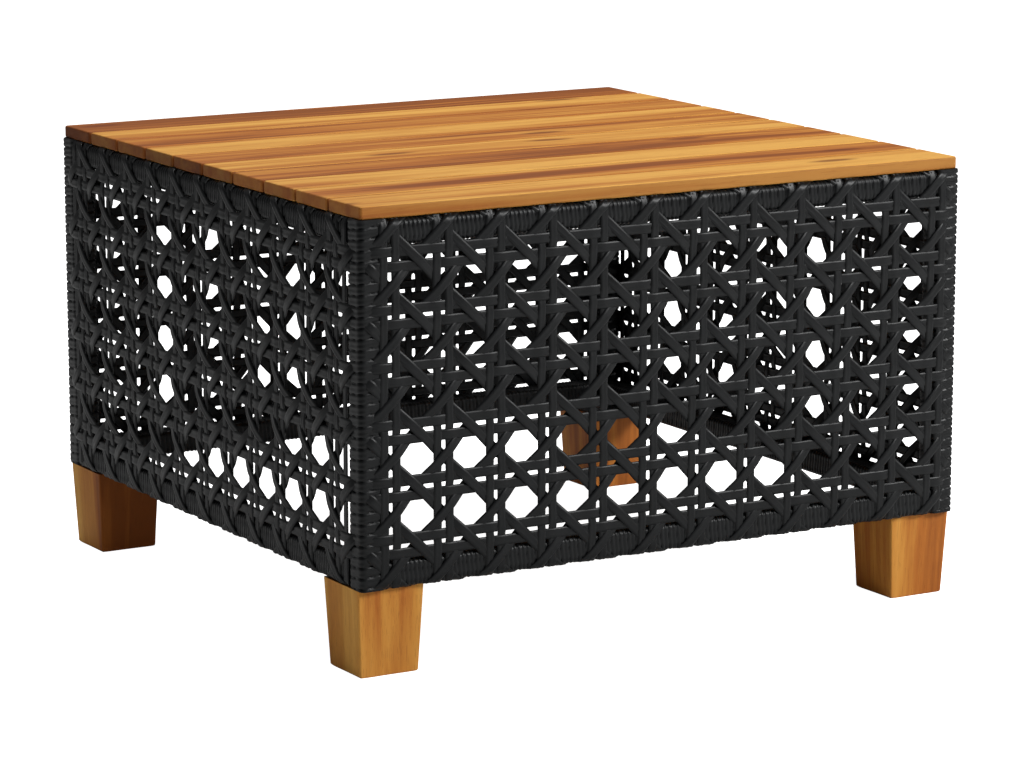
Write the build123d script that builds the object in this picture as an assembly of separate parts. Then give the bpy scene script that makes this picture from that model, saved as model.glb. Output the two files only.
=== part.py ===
from build123d import *
import math
import os

# Wicker coffee table: a slatted hardwood top on a welded steel cage that is wrapped and
# woven with flat synthetic strands, standing on four tapered wooden feet.
# Millimetres. +X runs along the slats, +Y from the front to the back, +Z up.
# The origin is on the floor, under the middle of the table.

# Driving dimensions: the slatted top
TOP_LENGTH = 550.0
TOP_DEPTH = 542.0
TABLE_HEIGHT = 366.0
SLAT_COUNT = 10
SLAT_THICKNESS = 10.0
SLAT_GAP = 2.6
SLAT_EDGE_RADIUS = 1.6
SLAT_CORNER_RADIUS = 2.6
FOOT_EDGE = 1.0
BATTEN_WIDTH = 40.0
BATTEN_THICKNESS = 10.0
BATTEN_X = 165.0

# Driving dimensions: the wrapped cage
OVERHANG = 2.0
FOOT_HEIGHT = 70.0
TUBE = 18.0
TUBE_WALL = 1.2
TUBE_RADIUS = 3.0
WRAP = 2.0
CROSS_RAIL_WIDTH = 20.0
CROSS_RAIL_HEIGHT = 10.0

# Driving dimensions: the cane weave
COLUMN_PITCH = 46.0
ROW_PITCH = 44.4
WEAVE_ROWS = 5
WEAVE_MIDDLE = 214.1
STRAND_WIDTH = 7.0
STRAND_THICKNESS = 1.2
PAIR_OFFSET = 5.35
WEAVE_INSET = 0.6

# Driving dimensions: feet and fasteners
FOOT_BOTTOM = 50.7
FOOT_TOP = 57.4
FOOT_RADIUS = 1.5
FOOT_X = 248.0
FOOT_Y = 238.0
PLATE_SIZE = 48.0
PLATE_THICKNESS = 2.0
PLATE_INSET = 4.0
BOLT_RADIUS = 4.0
BOLT_DEPTH = 40.0
NUT_RADIUS = 6.5
NUT_HEIGHT = 6.5
SLAT_SCREW_RADIUS = 1.75
SLAT_SCREW_HEAD_RADIUS = 3.5
SLAT_SCREW_HEAD_HEIGHT = 2.0
SLAT_SCREW_LENGTH = 17.0
SLAT_SCREW_OFFSET = 14.5
FIXING_RADIUS = 2.25
FIXING_HEAD_RADIUS = 4.5
FIXING_HEAD_HEIGHT = 2.5
FIXING_LENGTH = 17.0

# Worked out from the driving dimensions
SLAT_PITCH = (TOP_DEPTH + SLAT_GAP) / SLAT_COUNT
SLAT_WIDTH = SLAT_PITCH - SLAT_GAP
SLAT_BOTTOM = TABLE_HEIGHT - SLAT_THICKNESS
BATTEN_BOTTOM = SLAT_BOTTOM - BATTEN_THICKNESS
CAGE_LENGTH = TOP_LENGTH + 2 * OVERHANG
CAGE_DEPTH = TOP_DEPTH + 2 * OVERHANG
WRAPPED = TUBE + 2 * WRAP
WRAP_RADIUS = TUBE_RADIUS + WRAP
POST_X = CAGE_LENGTH / 2 - WRAPPED / 2
POST_Y = CAGE_DEPTH / 2 - WRAPPED / 2
OPENING_X = CAGE_LENGTH / 2 - WRAPPED
OPENING_Y = CAGE_DEPTH / 2 - WRAPPED
BOTTOM_RAIL_Z = FOOT_HEIGHT + WRAPPED / 2
TOP_RAIL_Z = SLAT_BOTTOM - WRAPPED / 2
WEAVE_LOW = FOOT_HEIGHT + WRAPPED
WEAVE_HIGH = SLAT_BOTTOM - WRAPPED
FIXING_Y = 3 * SLAT_PITCH

ALONG_X = Rot(0, 90, 0)
ALONG_Y = Rot(90, 0, 0)
CORNERS = {
    "front_left": (-1, -1),
    "front_right": (1, -1),
    "back_left": (-1, 1),
    "back_right": (1, 1),
}
# Each side: its turn about Z from the front, and how far its outer face is from the middle
SIDES = {
    "front": (0, CAGE_DEPTH / 2),
    "right": (90, CAGE_LENGTH / 2),
    "back": (180, CAGE_DEPTH / 2),
    "left": (270, CAGE_LENGTH / 2),
}


def block(low, high):
    """A box between two opposite corners."""
    size = [b - a for a, b in zip(low, high)]
    middle = [(a + b) / 2 for a, b in zip(low, high)]
    return Pos(*middle) * Box(*size)


def bar(width, height, radius, length):
    """A solid bar along Z, centred, with rounded long edges."""
    return Pos(0, 0, -length / 2) * extrude(RectangleRounded(width, height, radius), length)


def tube(width, height, wall, radius, length):
    """A hollow section along Z, centred, open at both ends."""
    bore = bar(width - 2 * wall, height - 2 * wall, radius - wall, length)
    return bar(width, height, radius, length) - bore


def is_long_side(side):
    """Whether a side runs along X."""
    return side in ("front", "back")


def on_side(side, outward, z):
    """The place of something centred on a side: how far inside the outer face, and its height."""
    turn, distance = SIDES[side]
    return Rot(0, 0, turn) * Pos(0, -distance + outward, z)


# The slatted top


def slat_middle(index):
    """The Y of a slat's centre line; index 0 is the front slat."""
    return (index - (SLAT_COUNT - 1) / 2) * SLAT_PITCH


def screw(radius, length, head):
    """A screw that points up from the origin, with its head shape added below or around it."""
    return Pos(0, 0, length / 2) * Cylinder(radius, length) + head


def slat_screws():
    """One countersunk screw up through each batten into each slat, staggered from side to side."""
    head = Pos(0, 0, SLAT_SCREW_HEAD_HEIGHT / 2) * Cone(
        SLAT_SCREW_HEAD_RADIUS, SLAT_SCREW_RADIUS, SLAT_SCREW_HEAD_HEIGHT
    )
    one = screw(SLAT_SCREW_RADIUS, SLAT_SCREW_LENGTH, head)
    screws = []
    for batten_x in (-BATTEN_X, BATTEN_X):
        for index in range(SLAT_COUNT):
            stagger = SLAT_SCREW_OFFSET if index % 2 else -SLAT_SCREW_OFFSET
            screws.append(Pos(batten_x + stagger, slat_middle(index), BATTEN_BOTTOM) * one)
    return screws


def top_fixing_screws():
    """Pan-head screws up through the cross rails into the battens, which hold the top down."""
    cross_rail_bottom = BATTEN_BOTTOM - CROSS_RAIL_HEIGHT
    head = Pos(0, 0, -FIXING_HEAD_HEIGHT / 2) * Cylinder(FIXING_HEAD_RADIUS, FIXING_HEAD_HEIGHT)
    one = screw(FIXING_RADIUS, FIXING_LENGTH, head)
    return [
        Pos(x, y, cross_rail_bottom) * one
        for x in (-BATTEN_X, BATTEN_X)
        for y in (-FIXING_Y, FIXING_Y)
    ]


def slat(index, screws):
    """One board of the top with eased edges and the pilot holes of its own screws."""
    board = Box(TOP_LENGTH, SLAT_WIDTH, SLAT_THICKNESS)
    board = fillet(board.edges().filter_by(Axis.Z), SLAT_CORNER_RADIUS)
    board = fillet(board.edges().group_by(Axis.Z)[0], SLAT_EDGE_RADIUS)
    board = fillet(board.edges().group_by(Axis.Z)[-1], SLAT_EDGE_RADIUS)
    board = Pos(0, slat_middle(index), SLAT_BOTTOM + SLAT_THICKNESS / 2) * board
    for own in screws:
        if abs(own.center().Y - slat_middle(index)) < SLAT_PITCH / 2:
            board = board - own
    return board


def batten(x, screws):
    """A cleat across the underside of the slats, drilled for both kinds of screw."""
    strip = block(
        (x - BATTEN_WIDTH / 2, -OPENING_Y + 1, BATTEN_BOTTOM),
        (x + BATTEN_WIDTH / 2, OPENING_Y - 1, SLAT_BOTTOM),
    )
    for own in screws:
        if abs(own.center().X - x) < BATTEN_WIDTH / 2:
            strip = strip - own
    return strip


# The steel cage


def corner_post():
    """A square tube, short of the wrapping at both ends."""
    low = FOOT_HEIGHT + WRAP
    high = SLAT_BOTTOM - WRAP
    return Pos(0, 0, (low + high) / 2) * tube(TUBE, TUBE, TUBE_WALL, TUBE_RADIUS, high - low)


def rail(side, z):
    """A square tube that is welded between the inner faces of two posts."""
    span = 2 * (POST_X if is_long_side(side) else POST_Y) - TUBE
    return on_side(side, WRAPPED / 2, z) * ALONG_X * tube(TUBE, TUBE, TUBE_WALL, TUBE_RADIUS, span)


def cross_rail(x, screws):
    """A flat tube from the front top rail to the back one, drilled for the screws of the top."""
    z = BATTEN_BOTTOM - CROSS_RAIL_HEIGHT / 2
    span = 2 * POST_Y - TUBE
    shell = tube(CROSS_RAIL_WIDTH, CROSS_RAIL_HEIGHT, TUBE_WALL, TUBE_RADIUS, span)
    placed = Pos(x, 0, z) * ALONG_Y * shell
    for own in screws:
        if abs(own.center().X - x) < CROSS_RAIL_WIDTH / 2:
            placed = placed - own
    return placed


# The feet and what holds them


def corner_place(corner, inset_x, inset_y):
    """A point at a corner, inside the cage's outer faces."""
    side_x, side_y = CORNERS[corner]
    return side_x * (CAGE_LENGTH / 2 - inset_x), side_y * (CAGE_DEPTH / 2 - inset_y)


def foot(corner):
    """A tapered block, drilled from above for its hanger bolt."""
    side_x, side_y = CORNERS[corner]
    sections = [
        RectangleRounded(FOOT_BOTTOM, FOOT_BOTTOM, FOOT_RADIUS),
        Pos(0, 0, FOOT_HEIGHT) * RectangleRounded(FOOT_TOP, FOOT_TOP, FOOT_RADIUS),
    ]
    body = loft(sections)
    body = chamfer(body.edges().group_by(Axis.Z)[0], FOOT_EDGE)
    bore = Pos(0, 0, FOOT_HEIGHT - BOLT_DEPTH / 2) * Cylinder(BOLT_RADIUS, BOLT_DEPTH)
    return Pos(side_x * FOOT_X, side_y * FOOT_Y, 0) * (body - bore)


def hanger_bolt(corner):
    """Half in the foot, half up through the plate and its weld nut."""
    side_x, side_y = CORNERS[corner]
    low = FOOT_HEIGHT - BOLT_DEPTH
    high = FOOT_HEIGHT + PLATE_THICKNESS + NUT_HEIGHT + 3
    return Pos(side_x * FOOT_X, side_y * FOOT_Y, (low + high) / 2) * Cylinder(BOLT_RADIUS, high - low)


def foot_plate(corner):
    """A square plate that is welded under the post and both rails of a corner."""
    x, y = corner_place(corner, PLATE_INSET + PLATE_SIZE / 2, PLATE_INSET + PLATE_SIZE / 2)
    plate = Box(PLATE_SIZE, PLATE_SIZE, PLATE_THICKNESS)
    plate = fillet(plate.edges().filter_by(Axis.Z), 2 * PLATE_THICKNESS)
    return Pos(x, y, FOOT_HEIGHT + PLATE_THICKNESS / 2) * plate - hanger_bolt(corner)


def weld_nut(corner):
    """A hexagon nut on top of the plate."""
    side_x, side_y = CORNERS[corner]
    flats = NUT_RADIUS / math.cos(math.radians(30))
    blank = extrude(RegularPolygon(flats, 6, rotation=30), NUT_HEIGHT)
    z = FOOT_HEIGHT + PLATE_THICKNESS
    return Pos(side_x * FOOT_X, side_y * FOOT_Y, z) * blank - hanger_bolt(corner)


# The wrapping of the cage


def post_wrap(corner, cuts):
    """The sleeve of strands round a post, open where the rails and the plate meet the steel."""
    length = SLAT_BOTTOM - FOOT_HEIGHT
    sleeve = Pos(0, 0, FOOT_HEIGHT + length / 2) * tube(WRAPPED, WRAPPED, WRAP, WRAP_RADIUS, length)
    side_x, side_y = CORNERS[corner]
    sleeve = Pos(side_x * POST_X, side_y * POST_Y, 0) * sleeve
    for cut in cuts:
        sleeve = sleeve - cut
    return sleeve


def rail_wrap(side, z, cuts):
    """The sleeve of strands round a rail, from one wrapped post to the next."""
    span = 2 * (OPENING_X if is_long_side(side) else OPENING_Y)
    sleeve = on_side(side, WRAPPED / 2, z) * ALONG_X * tube(WRAPPED, WRAPPED, WRAP, WRAP_RADIUS, span)
    for cut in cuts:
        sleeve = sleeve - cut
    return sleeve


def rail_space(side, z):
    """The block round a rail, for the openings in the post sleeves, past the bore's rounded corner."""
    span = 2 * (POST_X if is_long_side(side) else POST_Y) - TUBE + 2 * TUBE_RADIUS
    return on_side(side, WRAPPED / 2, z) * Box(span, TUBE, TUBE)


def plate_space(corner):
    """The block round a foot plate, for the openings in the sleeves."""
    x, y = corner_place(corner, PLATE_INSET + PLATE_SIZE / 2, PLATE_INSET + PLATE_SIZE / 2)
    return Pos(x, y, FOOT_HEIGHT + PLATE_THICKNESS / 2) * Box(PLATE_SIZE, PLATE_SIZE, PLATE_THICKNESS)


# The woven panels. Pairs of upright and level strands make a grid, and single diagonals cross
# on the middle of each pair, which leaves an eight-sided hole in the middle of each cell.


def layer(depth_index):
    """How far inside the outer face the middle of a layer of strands lies."""
    return WEAVE_INSET + (depth_index + 0.5) * STRAND_THICKNESS


def pair_lines(first, last, pitch):
    """The centre lines of the strands of each pair from first to last, in steps of pitch."""
    lines = []
    for step in range(round((last - first) / pitch) + 1):
        middle = first + step * pitch
        lines += [middle - PAIR_OFFSET, middle + PAIR_OFFSET]
    return lines


def upright_strands(half_opening, cell_shift):
    """The upright pairs of one panel, where they fit between the posts."""
    reach = (math.floor(half_opening / COLUMN_PITCH) + 0.5 + cell_shift) * COLUMN_PITCH
    height = WEAVE_HIGH - WEAVE_LOW
    middle = (WEAVE_HIGH + WEAVE_LOW) / 2
    return [
        Pos(x, layer(1), middle) * Box(STRAND_WIDTH, STRAND_THICKNESS, height)
        for x in pair_lines(-reach, reach, COLUMN_PITCH)
        if abs(x) + STRAND_WIDTH / 2 < half_opening
    ]


def level_strands(half_opening):
    """The level pairs of one panel, from post to post."""
    reach = WEAVE_ROWS / 2 * ROW_PITCH
    return [
        Pos(0, layer(2), z) * Box(2 * half_opening, STRAND_THICKNESS, STRAND_WIDTH)
        for z in pair_lines(WEAVE_MIDDLE - reach, WEAVE_MIDDLE + reach, ROW_PITCH)
    ]


def diagonal_strands(half_opening, cell_shift):
    """Both sets of diagonals of one panel, each set in a layer of its own."""
    slope = math.degrees(math.atan2(ROW_PITCH, COLUMN_PITCH))
    reach = math.ceil(half_opening / COLUMN_PITCH) + WEAVE_ROWS
    strands = []
    for lean, depth_index in ((-1, 0), (1, 3)):
        window = block(
            (-half_opening, layer(depth_index) - STRAND_THICKNESS, WEAVE_LOW),
            (half_opening, layer(depth_index) + STRAND_THICKNESS, WEAVE_HIGH),
        )
        for step in range(-reach, reach + 1):
            x = (step + 0.5 + cell_shift) * COLUMN_PITCH
            whole = Box(4 * half_opening, STRAND_THICKNESS, STRAND_WIDTH)
            placed = Pos(x, layer(depth_index), WEAVE_MIDDLE) * Rot(0, lean * slope, 0) * whole
            strands += (placed & window).solids() if (placed & window) else []
    return strands


def woven_panel(side):
    """The strands of one side, in place, by the way they run."""
    half_opening = OPENING_X if is_long_side(side) else OPENING_Y
    cell_shift = 0 if is_long_side(side) else -0.5
    place = on_side(side, 0, 0)
    families = {
        "upright_strands": upright_strands(half_opening, cell_shift),
        "level_strands": level_strands(half_opening),
        "diagonal_strands": diagonal_strands(half_opening, cell_shift),
    }
    return {name: [place * strand for strand in strands] for name, strands in families.items()}


def build():
    """Every node's solids, by the node's name."""
    nodes = {}
    into_slats = slat_screws()
    into_battens = top_fixing_screws()
    for index in range(SLAT_COUNT):
        nodes[f"slat_{index + 1:02d}"] = [slat(index, into_slats)]
    for name, x in (("left", -BATTEN_X), ("right", BATTEN_X)):
        nodes[f"batten_{name}"] = [batten(x, into_slats + into_battens)]
        nodes[f"cross_rail_{name}"] = [cross_rail(x, into_battens)]
    nodes["slat_screws"] = into_slats
    nodes["top_fixing_screws"] = into_battens

    plates = [plate_space(corner) for corner in CORNERS]
    cross_rail_space = [
        block(
            (x - CROSS_RAIL_WIDTH / 2, -POST_Y, BATTEN_BOTTOM - CROSS_RAIL_HEIGHT),
            (x + CROSS_RAIL_WIDTH / 2, POST_Y, BATTEN_BOTTOM),
        )
        for x in (-BATTEN_X, BATTEN_X)
    ]
    rails = [rail_space(side, z) for side in SIDES for z in (BOTTOM_RAIL_Z, TOP_RAIL_Z)]
    for side in SIDES:
        nodes[f"top_rail_{side}"] = [rail(side, TOP_RAIL_Z)]
        nodes[f"bottom_rail_{side}"] = [rail(side, BOTTOM_RAIL_Z)]
        top_cuts = cross_rail_space if is_long_side(side) else []
        nodes[f"top_rail_wrap_{side}"] = [rail_wrap(side, TOP_RAIL_Z, top_cuts)]
        nodes[f"bottom_rail_wrap_{side}"] = [rail_wrap(side, BOTTOM_RAIL_Z, plates)]
        for family, strands in woven_panel(side).items():
            nodes[f"{side}_{family}"] = strands

    for corner, (side_x, side_y) in CORNERS.items():
        nodes[f"corner_post_{corner}"] = [Pos(side_x * POST_X, side_y * POST_Y, 0) * corner_post()]
        nodes[f"post_wrap_{corner}"] = [post_wrap(corner, rails + plates)]
        nodes[f"foot_{corner}"] = [foot(corner)]
    nodes["foot_plates"] = [foot_plate(corner) for corner in CORNERS]
    nodes["weld_nuts"] = [weld_nut(corner) for corner in CORNERS]
    nodes["hanger_bolts"] = [hanger_bolt(corner) for corner in CORNERS]
    return nodes


os.makedirs("parts", exist_ok=True)
for node, shapes in build().items():
    solids = [solid for shape in shapes for solid in shape.solids()]
    export_step(solids[0] if len(solids) == 1 else Compound(solids), f"parts/{node}.step")
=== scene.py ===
"""Looks of a wicker coffee table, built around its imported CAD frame.

The slats, battens, feet, steel and screws keep their CAD shape and get their finish here. The woven
sides and the wrappings of the cage are modelled here strand by strand, in place of the plain CAD ones.
Everything is in metres, with +Z up, the slats along X and the front facing -Y.
"""

import logging
import math
import random
from dataclasses import dataclass, field
from enum import Enum
from typing import Callable

import bpy
import numpy as np
from mathutils import Euler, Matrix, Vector


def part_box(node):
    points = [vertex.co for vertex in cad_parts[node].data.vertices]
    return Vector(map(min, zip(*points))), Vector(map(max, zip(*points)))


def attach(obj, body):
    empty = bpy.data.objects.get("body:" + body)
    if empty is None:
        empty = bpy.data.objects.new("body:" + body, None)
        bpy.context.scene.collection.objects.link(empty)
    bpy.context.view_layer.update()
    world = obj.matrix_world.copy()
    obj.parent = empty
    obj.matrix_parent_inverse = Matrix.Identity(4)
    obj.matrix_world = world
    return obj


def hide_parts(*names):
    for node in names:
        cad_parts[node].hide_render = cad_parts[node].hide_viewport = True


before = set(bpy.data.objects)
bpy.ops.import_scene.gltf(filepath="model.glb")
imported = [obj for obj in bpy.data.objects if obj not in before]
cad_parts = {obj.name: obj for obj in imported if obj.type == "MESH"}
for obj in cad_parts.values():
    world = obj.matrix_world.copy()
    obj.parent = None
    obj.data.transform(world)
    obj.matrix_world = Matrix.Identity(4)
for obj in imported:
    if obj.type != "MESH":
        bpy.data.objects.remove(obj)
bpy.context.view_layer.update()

MM = 0.001
UV_STEP = 0.137
CORNERS = ("front_left", "front_right", "back_left", "back_right")
log = logging.getLogger("wicker_table")

Array = np.ndarray
Mapping = Callable[[Array, Array], tuple[Array, Array, Array]]


class Side(Enum):
    """The four woven sides, each with its turn about Z from the front, in degrees."""

    FRONT = 0
    RIGHT = 90
    BACK = 180
    LEFT = 270

    @property
    def is_long(self) -> bool:
        """Whether the side runs along X."""
        return self in (Side.FRONT, Side.BACK)


class Grain(Enum):
    """The axis that a piece of wood was sawn along."""

    ALONG_X = 0
    ALONG_Y = 1
    ALONG_Z = 2


# ---------------------------------------------------------------------------------------------
# Finishes
# ---------------------------------------------------------------------------------------------


def linear(hex_colour: str) -> tuple[float, float, float, float]:
    """Turns an sRGB hex colour to linear RGBA.

    Args:
        hex_colour: six hex digits after a hash sign.

    Returns:
        The colour in linear light, with full alpha.
    """
    channels = [int(hex_colour[i : i + 2], 16) / 255 for i in (1, 3, 5)]
    turned = [c / 12.92 if c <= 0.04045 else ((c + 0.055) / 1.055) ** 2.4 for c in channels]
    return (*turned, 1.0)


class NodeTree:
    """A material's nodes, with one way to add a node, set it and link it."""

    def __init__(self, name: str) -> None:
        """Makes an empty material with that name.

        Args:
            name: the material's name.
        """
        self.material = bpy.data.materials.new(name)
        self.material.use_nodes = True
        self.nodes = self.material.node_tree.nodes
        self.links = self.material.node_tree.links
        self.nodes.clear()

    def add(self, kind: str, settings: dict | None = None, **inputs: object) -> bpy.types.Node:
        """Adds one node.

        Args:
            kind: the node's type, without "ShaderNode".
            settings: the node's own properties by name.
            **inputs: a value or an output socket for each input, by its name with _ for a space,
                or in0, in1 and so on for inputs that share a name.

        Returns:
            The new node.
        """
        node = self.nodes.new("ShaderNode" + kind)
        for key, value in (settings or {}).items():
            setattr(node, key, value)
        for key, value in inputs.items():
            position = key[2:]
            socket = node.inputs[int(position) if position.isdigit() else key.replace("_", " ")]
            if isinstance(value, bpy.types.NodeSocket):
                self.links.new(value, socket)
            else:
                socket.default_value = value
        return node

    def ramp(self, factor: bpy.types.NodeSocket, stops: dict[float, str]) -> bpy.types.NodeSocket:
        """Adds a colour ramp.

        Args:
            factor: what drives it.
            stops: a hex colour at each place from 0 to 1.

        Returns:
            The ramp's colour output.
        """
        node = self.add("ValToRGB", Fac=factor)
        elements = node.color_ramp.elements
        while len(elements) < len(stops):
            elements.new(0.5)
        for element, (place, colour) in zip(elements, sorted(stops.items())):
            element.position = place
            element.color = linear(colour)
        return node.outputs["Color"]

    def mix(
        self,
        factor: bpy.types.NodeSocket | float,
        first: bpy.types.NodeSocket | tuple,
        second: bpy.types.NodeSocket | tuple,
    ) -> bpy.types.NodeSocket:
        """Mixes two colours.

        Args:
            factor: how much of the second shows.
            first: the lower colour.
            second: the upper colour.

        Returns:
            The mixed colour's socket.
        """
        node = self.add("Mix", {"data_type": "RGBA"}, in0=factor, in6=first, in7=second)
        return node.outputs[2]

    def math(self, operation: str, *values: object, clamp: bool = False) -> bpy.types.NodeSocket:
        """Adds a Math node.

        Args:
            operation: the node's operation.
            *values: a value or a socket for each input in turn.
            clamp: whether the result is held between 0 and 1.

        Returns:
            The result's socket.
        """
        inputs = {f"in{index}": value for index, value in enumerate(values)}
        return self.add("Math", {"operation": operation, "use_clamp": clamp}, **inputs).outputs[0]

    def finish(self, shader: bpy.types.Node) -> bpy.types.Material:
        """Links the shader to the output and returns the material.

        Args:
            shader: the node whose first output is the surface.

        Returns:
            The finished material.
        """
        self.add("OutputMaterial", Surface=shader.outputs[0])
        return self.material


@dataclass(frozen=True)
class OiledAcacia:
    """Acacia boards, planed, sanded and wiped with oil: honey sapwood, orange-brown heartwood in
    long streaks, fine dark pores along the grain and a soft satin film."""

    name: str
    grain: Grain
    seed: float
    pale: str = "#D9A24E"
    light: str = "#C38438"
    middle: str = "#AA6426"
    dark: str = "#85481A"
    knots: float = 1.0
    tone: float = 0.5
    end_grain: str = "#7A4220"
    knot_colour: str = "#6A3012"
    pore_colour: str = "#6A3416"
    # How much a slat's side faces are darkened: oiled edge and painted shade in the gaps between the slats
    edge_oil_and_gap_shade: float = 0.7

    # How strongly the broad and the fine streaks show, and how far the figure is spread over the colours
    broadness: float = 0.75
    fineness: float = 0.4
    contrast: float = 3.4

    # Real sizes of the figure, in metres
    streak: float = 9.0 * MM
    pore: float = 0.8 * MM
    ring: float = 24.0 * MM

    def build(self) -> bpy.types.Material:
        """Makes the material.

        Returns:
            A material whose figure runs along the piece's own grain.
        """
        tree = NodeTree(self.name)
        here = tree.add("TexCoord").outputs["Object"]
        turn = {
            Grain.ALONG_X: (0.0, 0.0, 0.0),
            Grain.ALONG_Y: (0.0, 0.0, math.pi / 2),
            Grain.ALONG_Z: (0.0, math.pi / 2, 0.0),
        }[self.grain]
        start = (self.seed, 3.1 * self.seed, 1.7 * self.seed)
        along = tree.add("Mapping", Vector=here, Rotation=turn, Location=start).outputs[0]

        # Long soft streaks: the colour of the wood changes slowly along it and fast across it
        warp_map = tree.add("Mapping", Vector=along, Scale=(3.0, 14.0, 14.0)).outputs[0]
        warp = tree.add("TexNoise", Vector=warp_map, Scale=1.0, Detail=2.0).outputs["Color"]
        centred = tree.add("VectorMath", {"operation": "SUBTRACT"}, in0=warp, in1=(0.5, 0.5, 0.5)).outputs[0]
        reach = (0.02, 0.022, 0.022)
        swing = tree.add("VectorMath", {"operation": "MULTIPLY"}, in0=centred, in1=reach).outputs[0]
        bent = tree.add("VectorMath", {"operation": "ADD"}, in0=along, in1=swing).outputs[0]
        stretch = tree.add("Mapping", Vector=bent, Scale=(1.6, 1 / self.ring, 1 / self.ring)).outputs[0]
        broad = tree.add("TexNoise", Vector=stretch, Scale=1.0, Detail=3.0, Roughness=0.55).outputs["Fac"]
        narrow = 1 / self.streak * 1.6
        fine_map = tree.add("Mapping", Vector=bent, Scale=(3.5, narrow, narrow)).outputs[0]
        fine = tree.add("TexNoise", Vector=fine_map, Scale=1.0, Detail=5.0, Roughness=0.6).outputs["Fac"]
        slow = tree.math("MULTIPLY_ADD", broad, self.broadness, 0.225 - self.fineness / 2)
        figure = tree.math("MULTIPLY_ADD", fine, self.fineness, slow)
        shifted = tree.math("ADD", figure, self.tone - 0.6)
        signed = tree.math("SUBTRACT", shifted, 0.5)
        wide = tree.math("MULTIPLY_ADD", signed, self.contrast, 0.5, clamp=True)
        colour = tree.ramp(wide, {0.0: self.dark, 0.3: self.middle, 0.62: self.light, 1.0: self.pale})

        # Knots: a few dark eyes, drawn out along the grain
        knot_map = tree.add("Mapping", Vector=bent, Scale=(6.5, 26.0, 4.0)).outputs[0]
        flat = {"feature": "F1", "voronoi_dimensions": "2D"}
        cells = tree.add("TexVoronoi", flat, Vector=knot_map, Scale=1.0, Randomness=1.0)
        eye = tree.math("MULTIPLY_ADD", cells.outputs["Distance"], -10.0, 1.8, clamp=True)
        draw = tree.add("SeparateColor", Color=cells.outputs["Color"]).outputs[0]
        chosen = tree.math("GREATER_THAN", draw, 0.8)
        knot = tree.math("MULTIPLY", tree.math("MULTIPLY", eye, chosen), 0.75 * self.knots)
        colour = tree.mix(knot, colour, linear(self.knot_colour))

        # Pores: hair-thin dark dashes
        pore_map = tree.add("Mapping", Vector=bent, Scale=(45.0, 1 / self.pore, 1 / self.pore)).outputs[0]
        pore = tree.add("TexNoise", Vector=pore_map, Scale=1.0, Detail=1.0).outputs["Fac"]
        dash = tree.math("MULTIPLY", tree.math("GREATER_THAN", pore, 0.63), 0.22)
        colour = tree.mix(dash, colour, linear(self.pore_colour))

        # The sawn ends take more oil than the planed faces. On a slat the side faces along it are darkened
        # as well: partly the darker oiled edge, partly painted shade in the gaps between the slats
        normal = tree.add("NewGeometry").outputs["Normal"]
        facing = tree.add("SeparateXYZ", Vector=normal).outputs[self.grain.value]
        is_end = tree.math("GREATER_THAN", tree.math("ABSOLUTE", facing), 0.7)
        if self.grain is Grain.ALONG_X:
            sideways = tree.add("SeparateXYZ", Vector=normal).outputs[Grain.ALONG_Y.value]
            is_edge = tree.math("GREATER_THAN", tree.math("ABSOLUTE", sideways), 0.75)
            colour = tree.mix(tree.math("MULTIPLY", is_edge, self.edge_oil_and_gap_shade), colour, linear(self.dark))
        ends_map = tree.add("Mapping", Vector=along, Scale=(40.0, 160.0, 420.0)).outputs[0]
        ends = tree.add("TexNoise", Vector=ends_map, Scale=1.0, Detail=3.0).outputs["Fac"]
        end_colour = tree.mix(tree.math("MULTIPLY", ends, 0.5), linear(self.end_grain), linear(self.dark))
        end_colour = tree.mix(0.25, end_colour, colour)
        colour = tree.mix(is_end, colour, end_colour)

        rough = tree.math("MULTIPLY_ADD", fine, 0.14, 0.55)
        relief = tree.math("MULTIPLY_ADD", pore, -0.4, tree.math("MULTIPLY", fine, 0.8))
        bump = tree.add("Bump", Strength=0.18, Distance=0.3 * MM, Height=relief).outputs[0]
        shader = tree.add(
            "BsdfPrincipled", Base_Color=colour, Roughness=rough, Normal=bump,
            IOR=1.46, Specular_IOR_Level=0.2,
        )
        return tree.finish(shader)


@dataclass(frozen=True)
class ExtrudedStrand:
    """Charcoal polyethylene strand, extruded with a groove along its middle: nearly black, with a low
    silky sheen and faint drawing lines along its length."""

    name: str = "charcoal_extruded_strand"
    deep: str = "#050606"
    pale: str = "#0D0F11"
    groove: float = 0.55 * MM

    def build(self) -> bpy.types.Material:
        """Makes the material. The strand's UV map is in metres: along it, then across it.

        Returns:
            A material for every woven and wound piece.
        """
        tree = NodeTree(self.name)
        flat = tree.add("UVMap", {"uv_map": "UVMap"}).outputs[0]
        long_map = tree.add("Mapping", Vector=flat, Scale=(22.0, 330.0, 1.0)).outputs[0]
        streaks = tree.add("TexNoise", Vector=long_map, Scale=1.0, Detail=3.0).outputs["Fac"]
        line_map = tree.add("Mapping", Vector=flat, Scale=(6.0, 1 / self.groove, 1.0)).outputs[0]
        lines = tree.add("TexNoise", Vector=line_map, Scale=1.0, Detail=2.0).outputs["Fac"]
        here = tree.add("TexCoord").outputs["Object"]
        patches = tree.add("TexNoise", Vector=here, Scale=28.0, Detail=2.0).outputs["Fac"]
        worn = tree.math("MULTIPLY_ADD", patches, 0.4, tree.math("MULTIPLY", streaks, 0.6))
        colour = tree.ramp(worn, {0.25: self.deep, 0.75: self.pale})
        rough = tree.math("MULTIPLY_ADD", streaks, 0.2, 0.3)
        bump = tree.add("Bump", Strength=0.35, Distance=0.12 * MM, Height=lines).outputs[0]
        shader = tree.add(
            "BsdfPrincipled", Base_Color=colour, Roughness=rough, Normal=bump,
            IOR=1.51, Specular_IOR_Level=0.23,
        )
        return tree.finish(shader)


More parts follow.
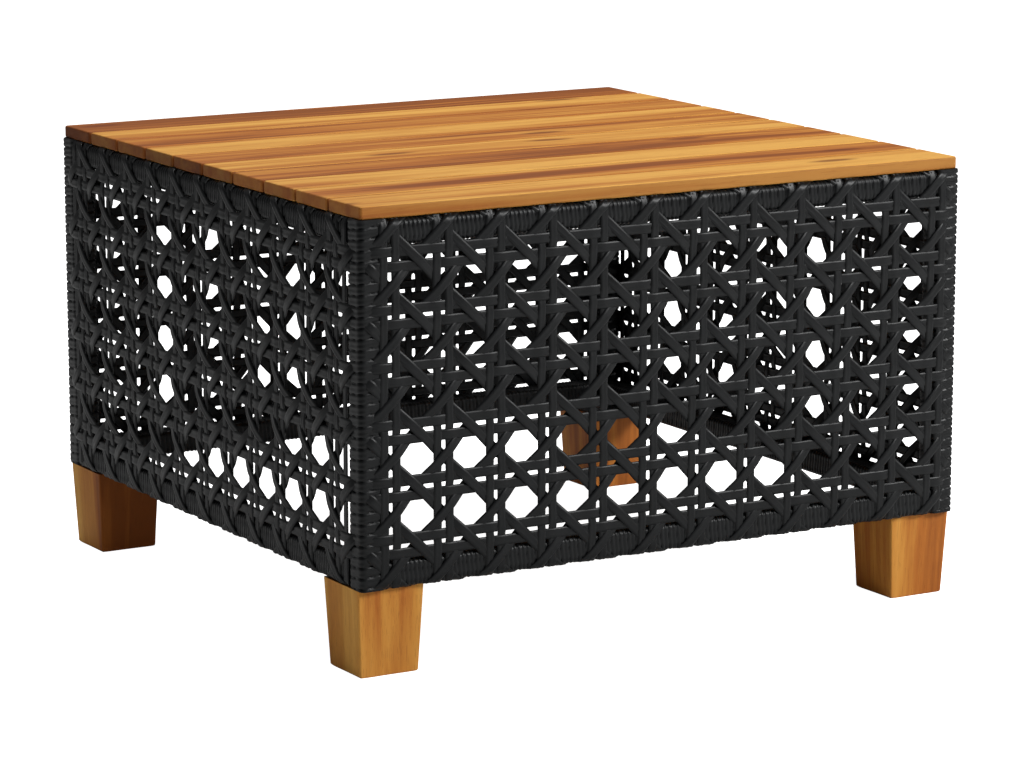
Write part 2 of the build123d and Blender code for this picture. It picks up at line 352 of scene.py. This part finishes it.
@dataclass(frozen=True)
class PowderCoat:
    """Mild steel tube under black powder coat: even, with a fine orange-peel skin."""

    name: str = "black_powder_coat"
    colour: str = "#17181A"
    worn: str = "#24262A"
    peel: float = 0.9 * MM

    def build(self) -> bpy.types.Material:
        """Makes the material.

        Returns:
            A material for the welded cage.
        """
        tree = NodeTree(self.name)
        here = tree.add("TexCoord").outputs["Object"]
        skin = tree.add("TexNoise", Vector=here, Scale=1 / self.peel, Detail=2.0).outputs["Fac"]
        cloud = tree.add("TexNoise", Vector=here, Scale=30.0, Detail=2.0).outputs["Fac"]
        colour = tree.mix(cloud, linear(self.colour), linear(self.worn))
        bump = tree.add("Bump", Strength=0.25, Distance=0.06 * MM, Height=skin).outputs[0]
        rough = tree.math("MULTIPLY_ADD", skin, 0.12, 0.4)
        shader = tree.add("BsdfPrincipled", Base_Color=colour, Roughness=rough, Normal=bump)
        return tree.finish(shader)


@dataclass(frozen=True)
class ZincPlate:
    """Steel fasteners with a thin zinc plate: pale grey metal, cloudy, with faint turning marks."""

    name: str = "zinc_plated_steel"
    bright: str = "#C9CCCB"
    dull: str = "#9FA3A4"

    def build(self) -> bpy.types.Material:
        """Makes the material.

        Returns:
            A material for the screws, bolts and nuts.
        """
        tree = NodeTree(self.name)
        here = tree.add("TexCoord").outputs["Object"]
        cloud = tree.add("TexNoise", Vector=here, Scale=420.0, Detail=3.0).outputs["Fac"]
        colour = tree.ramp(cloud, {0.3: self.dull, 0.7: self.bright})
        rough = tree.math("MULTIPLY_ADD", cloud, 0.2, 0.25)
        bump = tree.add("Bump", Strength=0.2, Distance=0.03 * MM, Height=cloud).outputs[0]
        shader = tree.add("BsdfPrincipled", Base_Color=colour, Roughness=rough, Normal=bump, Metallic=1.0)
        return tree.finish(shader)


def dress(piece: bpy.types.Object, material: bpy.types.Material) -> None:
    """Gives a piece one material in place of what it had.

    Args:
        piece: a mesh object.
        material: its finish.
    """
    piece.data.materials.clear()
    piece.data.materials.append(material)


# ---------------------------------------------------------------------------------------------
# Modelling
# ---------------------------------------------------------------------------------------------


def deselect() -> None:
    """Leaves nothing selected, in object mode."""
    if bpy.context.object and bpy.context.object.mode != "OBJECT":
        bpy.ops.object.mode_set(mode="OBJECT")
    bpy.ops.object.select_all(action="DESELECT")


class Blank:
    """A flat grid that is copied and laid into shape, so that each kind is modelled only once."""

    _made: dict[tuple[int, int], bpy.types.Mesh] = {}

    @classmethod
    def mesh(cls, lengthwise: int, across: int) -> bpy.types.Mesh:
        """The grid with that many faces each way, 1 by 1 around the origin.

        Args:
            lengthwise: the number of faces along X.
            across: the number of faces along Y.

        Returns:
            The shared mesh, which is copied before it is changed.
        """
        key = (lengthwise, across)
        if key not in cls._made:
            deselect()
            bpy.ops.mesh.primitive_grid_add(x_subdivisions=lengthwise, y_subdivisions=across, size=1.0)
            grid = bpy.context.object
            cls._made[key] = grid.data
            bpy.data.objects.remove(grid)
        return cls._made[key]


def lay(
    name: str, faces: tuple[int, int], shape: Mapping, size: tuple[float, float], wound: bool = False
) -> bpy.types.Object:
    """Copies a blank and lays each of its points where shape says.

    Args:
        name: the new object's name.
        faces: the numbers of faces along it and across it.
        shape: takes the places along and across, both from 0 to 1, and gives X, Y and Z.
        size: the real length and width, for the UV map.
        wound: whether the strand runs across the blank, round a tube, and not along it.

    Returns:
        The new object.
    """
    lengthwise, across = faces
    mesh = Blank.mesh(lengthwise, across).copy()
    flat = np.empty(len(mesh.vertices) * 3, np.float32)
    mesh.vertices.foreach_get("co", flat)
    flat = flat.reshape(-1, 3)
    x, y, z = shape(flat[:, 0] + 0.5, flat[:, 1] + 0.5)
    placed = np.stack([x, y, z], axis=1).astype(np.float32)
    mesh.vertices.foreach_set("co", placed.ravel())
    layer = mesh.uv_layers[0]
    layer.name = "UVMap"
    uv = np.empty(len(mesh.loops) * 2, np.float32)
    layer.data.foreach_get("uv", uv)
    uv = uv.reshape(-1, 2) * np.array(size, np.float32)
    if wound:
        uv = uv[:, ::-1].copy()
    # Each piece starts at another place along the finish, so that no two show the same streaks
    uv[:, 0] += (len(bpy.data.meshes) * UV_STEP) % 1.0
    layer.data.foreach_set("uv", uv.ravel())
    mesh.update()
    piece = bpy.data.objects.new(name, mesh)
    bpy.context.scene.collection.objects.link(piece)
    return piece


def join(name: str, parts: list[bpy.types.Object]) -> bpy.types.Object:
    """Joins objects into one.

    Args:
        name: the joined object's name.
        parts: the objects, all of which go into the first.

    Returns:
        The joined object.
    """
    deselect()
    for part in parts:
        part.select_set(True)
    bpy.context.view_layer.objects.active = parts[0]
    bpy.ops.object.join()
    piece = bpy.context.object
    piece.name = name
    piece.data.name = name
    return piece


def thicken(piece: bpy.types.Object, thickness: float) -> None:
    """Turns a sheet into a closed solid, inwards from its outer face, and smooths its shading.

    Args:
        piece: the object.
        thickness: in metres.
    """
    deselect()
    piece.select_set(True)
    bpy.context.view_layer.objects.active = piece
    bpy.ops.object.modifier_add(type="SOLIDIFY")
    wall = piece.modifiers[-1]
    wall.thickness = thickness
    wall.offset = -1.0
    wall.use_even_offset = False
    bpy.ops.object.modifier_apply(modifier=wall.name)
    bpy.ops.object.shade_smooth_by_angle(angle=math.radians(50))


def weld_seam(piece: bpy.types.Object, distance: float) -> None:
    """Merges the points that meet where a sheet was laid round on itself.

    Args:
        piece: the object.
        distance: how near two points are to become one.
    """
    deselect()
    piece.select_set(True)
    bpy.context.view_layer.objects.active = piece
    bpy.ops.object.mode_set(mode="EDIT")
    bpy.ops.mesh.select_all(action="SELECT")
    bpy.ops.mesh.remove_doubles(threshold=distance)
    bpy.ops.mesh.normals_make_consistent(inside=False)
    bpy.ops.object.mode_set(mode="OBJECT")
    bpy.ops.object.shade_smooth_by_angle(angle=math.radians(60))


def smoothstep(low: float, high: float, value: Array) -> Array:
    """Goes smoothly from 0 at low to 1 at high.

    Args:
        low: where it leaves 0.
        high: where it reaches 1.
        value: the places to read it at.

    Returns:
        The values.
    """
    t = np.clip((value - low) / (high - low), 0, 1)
    return t * t * (3 - 2 * t)


# ---------------------------------------------------------------------------------------------
# The woven sides
# ---------------------------------------------------------------------------------------------


@dataclass(frozen=True)
class Strand:
    """The strand that everything is woven from: rounded above, with a groove along its middle."""

    width: float
    thickness: float = 1.3 * MM
    crown: float = 1.2 * MM
    groove: float = 0.55 * MM
    groove_reach: float = 0.18
    across: int = 8

    def section(self, place: Array) -> tuple[Array, Array]:
        """A point of the strand's upper face.

        Args:
            place: from -1 at one edge to 1 at the other.

        Returns:
            The place across the strand and the height above its edges.
        """
        angle = place * math.pi / 2
        hollow = self.groove * np.exp(-((place / self.groove_reach) ** 2))
        height = self.crown * np.cos(angle) - hollow
        return np.sin(angle) * self.width / 2, height


UPRIGHT_STRAND = Strand(7.3 * MM)
LEVEL_STRAND = Strand(8.5 * MM)
DIAGONAL_STRAND = Strand(8.0 * MM)


@dataclass(frozen=True)
class Cage:
    """The sizes of the wrapped cage, read from the CAD frame."""

    half_length: float = field(default_factory=lambda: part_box("top_rail_wrap_right")[1].x)
    half_depth: float = field(default_factory=lambda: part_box("top_rail_wrap_back")[1].y)
    opening_length: float = field(default_factory=lambda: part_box("top_rail_wrap_back")[1].x)
    opening_depth: float = field(default_factory=lambda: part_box("top_rail_wrap_right")[1].y)
    bottom: float = field(default_factory=lambda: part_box("bottom_rail_wrap_front")[0].z)
    opening_bottom: float = field(default_factory=lambda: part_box("bottom_rail_wrap_front")[1].z)
    opening_top: float = field(default_factory=lambda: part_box("top_rail_wrap_front")[0].z)
    top: float = field(default_factory=lambda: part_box("top_rail_wrap_front")[1].z)


@dataclass
class WovenSide:
    """One cane panel: pairs of uprights and levels, and single diagonals both ways.

    The panel is worked out flat, in places along it (u), up it (z) and outwards from the cage's
    outer face (out). Then it is bent over the rounded edges of the cage and turned to its side.
    A tuck is two distances from the panel's end: where a diagonal begins to dive behind the post's
    wrapping, and where it is down and stops.
    """

    side: Side
    cage: Cage
    # The pattern: its cells, where its columns stand on the long and the short sides (in cells), and
    # how far each strand of a pair lies from the pair's middle
    column: float = 46.0 * MM
    row: float = 44.4 * MM
    middle: float = 214.1 * MM
    rows: int = 5
    long_shift: float = -0.033
    short_shift: float = 0.5
    upright_offset: float = 5.1 * MM
    level_offset: float = 5.75 * MM
    uneven_mm: float = 0.25

    # How high the strands ride: in the opening, over the frame and where they cross
    inset: float = 0.8 * MM
    over_frame: float = -0.8 * MM
    frame_rise: tuple[float, float] = (-1.0 * MM, 9.0 * MM)
    lift: float = 1.7 * MM
    node_lift: float = 0.8 * MM
    node_fade: tuple[float, float] = (1.3, 2.6)
    pressed: float = 0.6

    # How they go over the cage's rounded edges and end under the rails
    edge_radius: float = 4.0 * MM
    edge_share: float = 0.5
    under_reach: float = 13.0 * MM
    bury: float = 2.6 * MM
    bury_span: tuple[float, float] = (0.45, 0.95)
    below_top: float = 0.2 * MM

    # How they end at the corner posts, in distances from the panel's end. A border upright stands
    # border_gap inside the opening's edge, and a diagonal that rises less than shortest is left out
    early_tuck: tuple[float, float] = (17.0 * MM, 11.0 * MM)
    late_tuck: tuple[float, float] = (9.0 * MM, 5.5 * MM)
    tuck_depth: float = 3.6 * MM
    early_level_tuck: float = 12.0 * MM
    late_level_tuck: float = 6.5 * MM
    level_dive: tuple[float, float] = (7.0 * MM, 1.0 * MM)
    level_tuck_depth: float = 4.5 * MM
    post_margin: float = 12.0 * MM
    border_gap: float = 3.5 * MM
    shortest: float = 20.0 * MM

    # The length of a mesh face along a strand
    step: float = 5.0 * MM

    def __post_init__(self) -> None:
        """Works out the panel's reach, how its cells are centred and which way it leans."""
        long = self.side.is_long
        self.half = self.cage.half_length if long else self.cage.half_depth
        self.face = self.cage.half_depth if long else self.cage.half_length
        self.opening = self.cage.opening_length if long else self.cage.opening_depth
        self.shift = self.long_shift if long else self.short_shift
        self.hand = 1 if long else -1
        self.tucks = {-1: self.late_tuck if long else self.early_tuck, 1: self.early_tuck}
        self.level_tuck = self.late_level_tuck if long else self.early_level_tuck
        self.seed = random.Random(self.side.value + 7)

    @property
    def name(self) -> str:
        """The side's name as the CAD nodes have it."""
        return self.side.name.lower()

    def past_pair(self, u: Array) -> Array:
        """How far places along the panel are from the middle of the nearest upright pair."""
        cells = u / self.column + self.shift
        return (cells - np.floor(cells) - 0.5) * self.column

    def past_node(self, z: Array) -> Array:
        """How far heights are from the middle of the nearest level pair."""
        cells = (z - self.middle) / self.row + (0.5 if self.rows % 2 == 0 else 0.0)
        return (cells - np.floor(cells) - 0.5) * self.row

    def frame_share(self, u: Array, z: Array) -> Array:
        """How far a place has risen from the panel onto the frame.

        Args:
            u: places along the panel.
            z: heights.

        Returns:
            0 well inside the opening and 1 over the frame.
        """
        inside = np.minimum(
            self.opening - np.abs(u), np.minimum(z - self.cage.opening_bottom, self.cage.opening_top - z)
        )
        return 1 - smoothstep(*self.frame_rise, inside)

    def bend(self, u: Array, z: Array, out: Array) -> tuple[Array, Array, Array]:
        """Bends flat places over the cage's rounded edges and turns them to this side.

        Args:
            u: places along the panel, unrolled past the corner posts' edges.
            z: heights, unrolled past the rails' edges.
            out: distances outwards from the cage's face.

        Returns:
            X, Y and Z.
        """
        radius = self.edge_radius
        high, low = self.cage.top - radius, self.cage.bottom + radius
        over = np.where(z > high, z - high, np.where(z < low, low - z, 0))
        angle = np.minimum(over / radius, math.pi / 2)
        past = np.maximum(over - radius * math.pi / 2, 0)
        out = out * (1 - self.edge_share * angle / (math.pi / 2))
        rise = (radius + out) * np.sin(angle)
        first, last = self.bury_span
        rise = rise - self.bury * smoothstep(self.under_reach * first, self.under_reach * last, past)
        z = np.where(z > high, high + rise, np.where(z < low, low - rise, z))
        out = np.where(over > 0, -radius + (radius + out) * np.cos(angle) - past, out)
        z = np.minimum(z, self.cage.top - self.below_top)

        corner = self.half - radius
        beyond = np.maximum(np.abs(u) - corner, 0)
        angle = np.minimum(beyond / radius, math.pi / 4)
        slide = (radius + out) * np.sin(angle)
        u = np.where(beyond > 0, np.sign(u) * (corner + slide), u)
        out = np.where(beyond > 0, -radius + (radius + out) * np.cos(angle), out)

        x, y = u, -(self.face + out)
        turn = math.radians(self.side.value)
        return x * math.cos(turn) - y * math.sin(turn), x * math.sin(turn) + y * math.cos(turn), z

    def strand_piece(
        self,
        strand: Strand,
        start: tuple[float, float],
        end: tuple[float, float],
        height: Callable[[Array, Array], Array],
    ) -> bpy.types.Object:
        """Lays one strand.

        Args:
            strand: its section.
            start: the place along and the height where it starts.
            end: the same where it ends.
            height: takes places along and heights, and gives the distance in front of the panel's
                middle plane.

        Returns:
            The strand's outer sheet.
        """
        (u0, z0), (u1, z1) = start, end
        length = math.hypot(u1 - u0, z1 - z0)
        run = ((u1 - u0) / length, (z1 - z0) / length)
        drift = self.seed.uniform(-self.uneven_mm, self.uneven_mm) * MM

        def shape(along: Array, across: Array) -> tuple[Array, Array, Array]:
            sideways, crown = strand.section(2 * across - 1)
            centre_u = u0 + along * (u1 - u0)
            centre_z = z0 + along * (z1 - z0)
            u = centre_u - run[1] * (sideways + drift)
            z = centre_z + run[0] * (sideways + drift)
            share = self.frame_share(u, z)
            base = -self.inset + (self.inset + self.over_frame) * share
            wave = height(centre_u, centre_z) * (1 - (1 - self.pressed) * share)
            return self.bend(u, z, base + wave + strand.thickness / 2 + crown)

        lengthwise = max(4, round(length / self.step))
        return lay("strand", (lengthwise, strand.across), shape, (length, strand.width))

    def plaited(self, past: Array, offset: float, sign: int) -> Array:
        """The wave of a strand that goes over one strand of a pair and under the other.

        Args:
            past: how far it is from the middle of the pair that it crosses.
            offset: how far each strand of that pair is from the middle.
            sign: 1 if it is over the strand at the positive side.

        Returns:
            The height.
        """
        steps = past / offset
        faded = 1 - smoothstep(*self.node_fade, np.abs(steps))
        return sign * self.node_lift * np.sin(steps * math.pi / 2) * faded

    def diagonal_height(self, lean: int) -> Callable[[Array, Array], Array]:
        """The wave of a diagonal, which goes over one kind of pair and under the other.

        Args:
            lean: 1 for one that rises to the right and -1 for one that falls to the right.

        Returns:
            A height function.
        """
        start, end = self.tucks[lean]

        def height(u: Array, z: Array) -> Array:
            wave = lean * self.hand * np.cos(2 * math.pi * self.past_pair(u) / self.column)
            flattened = wave * (1.5 - 0.5 * wave * wave)
            tucked = smoothstep(self.half - start, self.half - end, np.abs(u))
            return self.lift * flattened * (1 - tucked) - self.tuck_depth * tucked

        return height

    @property
    def tail(self) -> float:
        """How far the strands run on, unrolled, past the rails' outer faces."""
        return self.edge_radius * (math.pi / 2 - 1) + self.under_reach

    def uprights(self) -> bpy.types.Object:
        """The upright pairs, over both rails and buried beneath them."""
        low, high = self.cage.bottom - self.tail, self.cage.top + self.tail
        count = math.floor(self.half / self.column + 0.5) + 1
        parts = []
        for index in range(-count, count + 1):
            centre = (index + 0.5 - self.shift) * self.column
            for sign in (-1, 1):
                place = centre + sign * self.upright_offset
                if abs(place) > self.half - self.post_margin:
                    continue

                def height(u: Array, z: Array, sign: int = sign) -> Array:
                    return self.plaited(self.past_node(z), self.level_offset, sign)

                parts.append(self.strand_piece(UPRIGHT_STRAND, (place, low), (place, high), height))
        if not self.side.is_long:
            for sign in (-1, 1):
                place = sign * (self.opening - self.border_gap)

                def behind(u: Array, z: Array) -> Array:
                    return np.full_like(z, -self.node_lift)

                parts.append(self.strand_piece(UPRIGHT_STRAND, (place, low), (place, high), behind))
        return join(f"{self.name}_woven_uprights", parts)

    def level_runs(self) -> bpy.types.Object:
        """The level pairs, over both corner posts' wrapping and then in beneath its last turns."""
        reach = self.half - self.level_tuck
        start, end = self.level_dive
        parts = []
        for index in range(self.rows + 1):
            centre = self.middle + (index - self.rows / 2) * self.row
            for sign in (-1, 1):
                z = centre + sign * self.level_offset

                def height(u: Array, z: Array, sign: int = sign) -> Array:
                    sunk = smoothstep(reach - start, reach - end, np.abs(u))
                    wave = self.plaited(self.past_pair(u), self.upright_offset, -sign)
                    return wave - self.level_tuck_depth * sunk

                parts.append(self.strand_piece(LEVEL_STRAND, (-reach, z), (reach, z), height))
        return join(f"{self.name}_woven_levels", parts)

    def diagonals(self) -> bpy.types.Object:
        """The diagonals both ways, over the rails and tucked in at the corner posts."""
        low, high = self.cage.bottom - self.tail, self.cage.top + self.tail
        slope = self.row / self.column
        count = math.ceil(self.half / self.column) + self.rows
        parts = []
        for lean in (-1, 1):
            side_reach = self.half - self.tucks[lean][1]
            for index in range(-count, count + 1):
                middle = (index + 0.5 - self.shift) * self.column
                ends = []
                for z in (low, high):
                    u = middle + lean * (z - self.middle) / slope
                    u = min(max(u, -side_reach), side_reach)
                    ends.append((u, self.middle + lean * (u - middle) * slope))
                (_, z0), (_, z1) = ends
                if low - 1e-6 <= z0 < z1 <= high + 1e-6 and z1 - z0 > self.shortest:
                    parts.append(self.strand_piece(DIAGONAL_STRAND, *ends, self.diagonal_height(lean)))
        return join(f"{self.name}_woven_diagonals", parts)

    def build(self, material: bpy.types.Material) -> None:
        """Weaves the panel in place of the CAD strands.

        Args:
            material: the strand's finish.
        """
        woven = {
            "upright_strands": self.uprights(),
            "level_strands": self.level_runs(),
            "diagonal_strands": self.diagonals(),
        }
        for node, piece in woven.items():
            thicken(piece, UPRIGHT_STRAND.thickness)
            dress(piece, material)
            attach(piece, "root")
            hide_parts(f"{self.name}_{node}")
            log.info("%s: %d faces", piece.name, len(piece.data.polygons))


# ---------------------------------------------------------------------------------------------
# The wound wrappings
# ---------------------------------------------------------------------------------------------


@dataclass
class Winding:
    """A twin-beaded strand wound turn by turn round a square tube with rounded edges."""

    node: str
    axis: int
    pitch: float

    # The strand's relief: its two beads, the groove between them and the gap between two turns
    bead: float = 0.9 * MM
    middle_groove: float = 1.0
    gap: float = 0.3 * MM

    # The crests' outline: how far it lies inside the CAD sleeve's box, and its corners
    below_box: float = 0.3 * MM
    edge_radius: float = 3.4 * MM

    # The mesh: faces round the tube and rings to a turn, and how narrow its closed ends are
    around: int = 32
    samples: int = 8
    closing: float = 0.02

    def section(self, turn: Array, size: float, radius: float) -> tuple[Array, Array]:
        """A point on a square outline with rounded corners.

        Args:
            turn: the place round it, from 0 to 1.
            size: the square's half width.
            radius: the corners' radius.

        Returns:
            The place on the two axes across the tube.
        """
        straight = 2 * (size - radius)
        arc = radius * math.pi / 2
        total = 4 * (straight + arc)
        place = (turn * total) % total
        quarter = np.floor(place / (straight + arc))
        rest = place - quarter * (straight + arc)
        on_arc = rest > straight
        angle = np.where(on_arc, (rest - straight) / radius, 0)
        a = np.where(on_arc, size - radius + radius * np.sin(angle), rest - straight / 2)
        b = np.where(on_arc, size - radius + radius * np.cos(angle), size)
        cos, sin = np.cos(-quarter * math.pi / 2), np.sin(-quarter * math.pi / 2)
        return a * cos - b * sin, a * sin + b * cos

    def relief(self, along: Array, turn: Array) -> Array:
        """How far the wound strand's outside stands below its crests.

        Args:
            along: the place along the tube, in metres.
            turn: the place round it, from 0 to 1.

        Returns:
            A depth that is 0 on the crests.
        """
        side = 2 * ((along / self.pitch + turn) % 1.0) - 1
        bead = np.sqrt(np.maximum(1 - (2 * np.abs(side) - 1) ** 2, 0))
        inner = np.abs(side) < 0.5
        depth = self.bead * (1 - bead) * np.where(inner, self.middle_groove, 1.0)
        return depth + self.gap * smoothstep(0.8, 1.0, np.abs(side))

    def build(self, material: bpy.types.Material) -> None:
        """Winds the tube in place of its CAD sleeve.

        Args:
            material: the strand's finish.
        """
        low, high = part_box(self.node)
        start, end = low[self.axis], high[self.axis]
        first, second = [axis for axis in range(3) if axis != self.axis]
        centre = (low + high) / 2
        size = (high[first] - low[first]) / 2 - self.below_box
        length = end - start
        rings = round(length / self.pitch * self.samples)

        def shape(along: Array, across: Array) -> tuple[Array, Array, Array]:
            ring = np.round(along * (rings + 2))
            place = np.clip((ring - 1) / rings, 0, 1) * length
            closed = (ring == 0) | (ring == rings + 2)
            a, b = self.section(across, size, self.edge_radius)
            shrink = np.where(closed, self.closing, 1 - self.relief(place, across) / size)
            points = [None, None, None]
            points[first] = centre[first] + a * shrink
            points[second] = centre[second] + b * shrink
            points[self.axis] = start + place
            return tuple(points)

        piece = lay(f"{self.node}_wound", (rings + 2, self.around), shape, (length, 8 * size), wound=True)
        weld_seam(piece, 0.02 * MM)
        dress(piece, material)
        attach(piece, "root")
        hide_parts(self.node)
        log.info("%s: %d faces", piece.name, len(piece.data.polygons))


@dataclass
class Wrappings:
    """All the wrapping of the cage: six turns to a column on the rails, looser turns on the posts."""

    rail_pitch: float = WovenSide.column / 6
    post_pitch: float = 8.4 * MM
    rail_bead: float = 1.1 * MM
    top_edge_radius: float = 5.5 * MM
    bottom_edge_radius: float = 3.4 * MM
    post_gap: float = 0.7 * MM
    post_groove: float = 0.5

    def build(self, material: bpy.types.Material) -> None:
        """Winds every rail and post.

        Args:
            material: the strand's finish.
        """
        for side in Side:
            axis = 0 if side.is_long else 1
            for level, radius in (("top", self.top_edge_radius), ("bottom", self.bottom_edge_radius)):
                node = f"{level}_rail_wrap_{side.name.lower()}"
                rail = Winding(node, axis, self.rail_pitch, bead=self.rail_bead, edge_radius=radius)
                rail.build(material)
        for corner in CORNERS:
            post = Winding(
                f"post_wrap_{corner}", 2, self.post_pitch, middle_groove=self.post_groove, gap=self.post_gap
            )
            post.build(material)


# ---------------------------------------------------------------------------------------------
# What keeps its CAD shape
# ---------------------------------------------------------------------------------------------


@dataclass
class Woodwork:
    """The slats, battens and feet, each with wood of its own."""

    slat_ends: tuple[str, ...] = (
        "#9A5A2A", "#9E622E", "#8A4C24", "#A0642E", "#6E3A1C",
        "#4A2614", "#4E2814", "#7A4A22", "#6E3A1A", "#4E2410",
    )
    slat_tones: tuple[float, ...] = (0.60, 0.48, 0.60, 0.44, 0.59, 0.42, 0.56, 0.43, 0.54, 0.34)
    foot_tones: tuple[float, ...] = (0.53, 0.44, 0.45, 0.44)

    def build(self) -> None:
        """Dresses every wooden node."""
        for index, (tone, end) in enumerate(zip(self.slat_tones, self.slat_ends), start=1):
            # The inner slats' side faces are darkened more than the front slat's: painted shade in the gaps
            # between the slats
            wood = OiledAcacia(
                f"oiled_acacia_slat_{index:02d}", Grain.ALONG_X, seed=0.73 * index, tone=tone,
                end_grain=end, edge_oil_and_gap_shade=0.6 if index == 1 else 0.9,
            )
            dress(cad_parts[f"slat_{index:02d}"], wood.build())
        for index, name in enumerate(("left", "right")):
            wood = OiledAcacia(f"raw_acacia_batten_{name}", Grain.ALONG_Y, seed=5.1 + index, tone=0.4)
            dress(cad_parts[f"batten_{name}"], wood.build())
        for index, corner in enumerate(CORNERS):
            wood = OiledAcacia(
                f"oiled_acacia_foot_{corner}", Grain.ALONG_Z, seed=11.3 + 2.9 * index,
                tone=self.foot_tones[index], knots=0.0, ring=38.0 * MM, fineness=0.2,
            )
            dress(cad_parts[f"foot_{corner}"], wood.build())


class Metalwork:
    """The welded cage and the fasteners."""

    fasteners = ("slat_screws", "top_fixing_screws", "weld_nuts", "hanger_bolts")

    def build(self) -> None:
        """Dresses every steel node."""
        coat = PowderCoat().build()
        zinc = ZincPlate().build()
        for name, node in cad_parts.items():
            is_tube = name.startswith(("top_rail_", "bottom_rail_", "corner_post_", "cross_rail_"))
            if name in self.fasteners:
                dress(node, zinc)
            elif (is_tube and "wrap" not in name) or name == "foot_plates":
                dress(node, coat)


# ---------------------------------------------------------------------------------------------
# Studio
# ---------------------------------------------------------------------------------------------


@dataclass(frozen=True)
class Softbox:
    """A square area light that faces the table."""

    name: str
    place: tuple[float, float, float]
    size: float
    power: float
    target: tuple[float, float, float] = (0.0, 0.0, 0.2)

    def build(self) -> None:
        """Hangs the light and turns it to its target."""
        data = bpy.data.lights.new(self.name, "AREA")
        data.size = self.size
        data.energy = self.power
        light = bpy.data.objects.new(self.name, data)
        light.location = self.place
        aim = Vector(self.target) - Vector(self.place)
        light.rotation_euler = aim.to_track_quat("-Z", "Y").to_euler()
        bpy.context.scene.collection.objects.link(light)


@dataclass(frozen=True)
class Studio:
    """A floor that the camera sees as white, an even surround, two softboxes and a long lens.

    The floor's glow and the full surround are for the camera only. They don't light the table.
    """

    # The camera: its lens in millimetres, where it looks in degrees, and where it stands
    lens: float = 140.16
    azimuth: float = 30.13
    elevation: float = 11.196
    place: tuple[float, float, float] = (-1.6534, -2.8720, 0.8140)

    # The floor and the light
    floor_size: float = 30.0
    floor_colour: str = "#F1F1F0"
    floor_speck: str = "#FAFAFA"
    floor_glow: float = 1.0
    surround: float = 0.17
    softboxes: tuple[Softbox, ...] = (
        Softbox("key", (1.9, -2.3, 1.8), size=0.9, power=92.0),
        Softbox("top", (0.1, 0.8, 2.6), size=1.2, power=42.0),
    )

    def camera(self) -> None:
        """Adds the camera and makes it the scene's."""
        data = bpy.data.cameras.new("camera")
        data.lens = self.lens
        data.sensor_width = 36.0
        data.clip_end = 100.0
        camera = bpy.data.objects.new("camera", data)
        camera.location = self.place
        tilt, turn = math.radians(90 - self.elevation), math.radians(-self.azimuth)
        camera.rotation_euler = Euler((tilt, 0.0, turn))
        bpy.context.scene.collection.objects.link(camera)
        bpy.context.scene.camera = camera

    def floor(self) -> None:
        """Adds a wide matt floor, which isn't part of the object."""
        deselect()
        bpy.ops.mesh.primitive_plane_add(size=self.floor_size, location=(0.0, 0.0, 0.0))
        floor = bpy.context.object
        floor.name = "studio_floor"
        tree = NodeTree("matt_studio_floor")
        here = tree.add("TexCoord").outputs["Object"]
        speck = tree.add("TexNoise", Vector=here, Scale=60.0, Detail=2.0).outputs["Fac"]
        colour = tree.mix(speck, linear(self.floor_colour), linear(self.floor_speck))
        seen = tree.add("LightPath").outputs["Is Camera Ray"]
        lit = tree.add(
            "BsdfPrincipled", Base_Color=colour, Roughness=0.9, Specular_IOR_Level=0.1,
            Emission_Color=linear("#FFFFFF"), Emission_Strength=tree.math("MULTIPLY", seen, self.floor_glow),
        )
        dress(floor, tree.finish(lit))

    def lights(self) -> None:
        """Adds the surround, which is full for the camera and low for the light, and the softboxes."""
        world = bpy.data.worlds.new("surround")
        world.use_nodes = True
        background = world.node_tree.nodes["Background"]
        background.inputs["Color"].default_value = linear("#FFFFFF")
        seen = world.node_tree.nodes.new("ShaderNodeLightPath").outputs["Is Camera Ray"]
        level = world.node_tree.nodes.new("ShaderNodeMapRange")
        level.inputs["To Min"].default_value = self.surround
        world.node_tree.links.new(seen, level.inputs["Value"])
        world.node_tree.links.new(level.outputs["Result"], background.inputs["Strength"])
        bpy.context.scene.world = world
        for softbox in self.softboxes:
            softbox.build()

    def build(self) -> None:
        """Sets up the camera, the floor, the lights and the picture's transfer."""
        self.camera()
        self.floor()
        self.lights()
        bpy.context.scene.view_settings.view_transform = "Standard"


def main() -> None:
    """Builds the studio, then the looks of each sub-assembly in turn."""
    logging.basicConfig(level=logging.INFO, format="%(name)s %(message)s")
    Studio().build()
    log.info("studio ready")
    Woodwork().build()
    log.info("slats, battens and feet dressed")
    Metalwork().build()
    log.info("steel and fasteners dressed")
    strand = ExtrudedStrand().build()
    cage = Cage()
    for side in Side:
        WovenSide(side, cage).build(strand)
    Wrappings().build(strand)


if __name__ == "__main__":
    main()
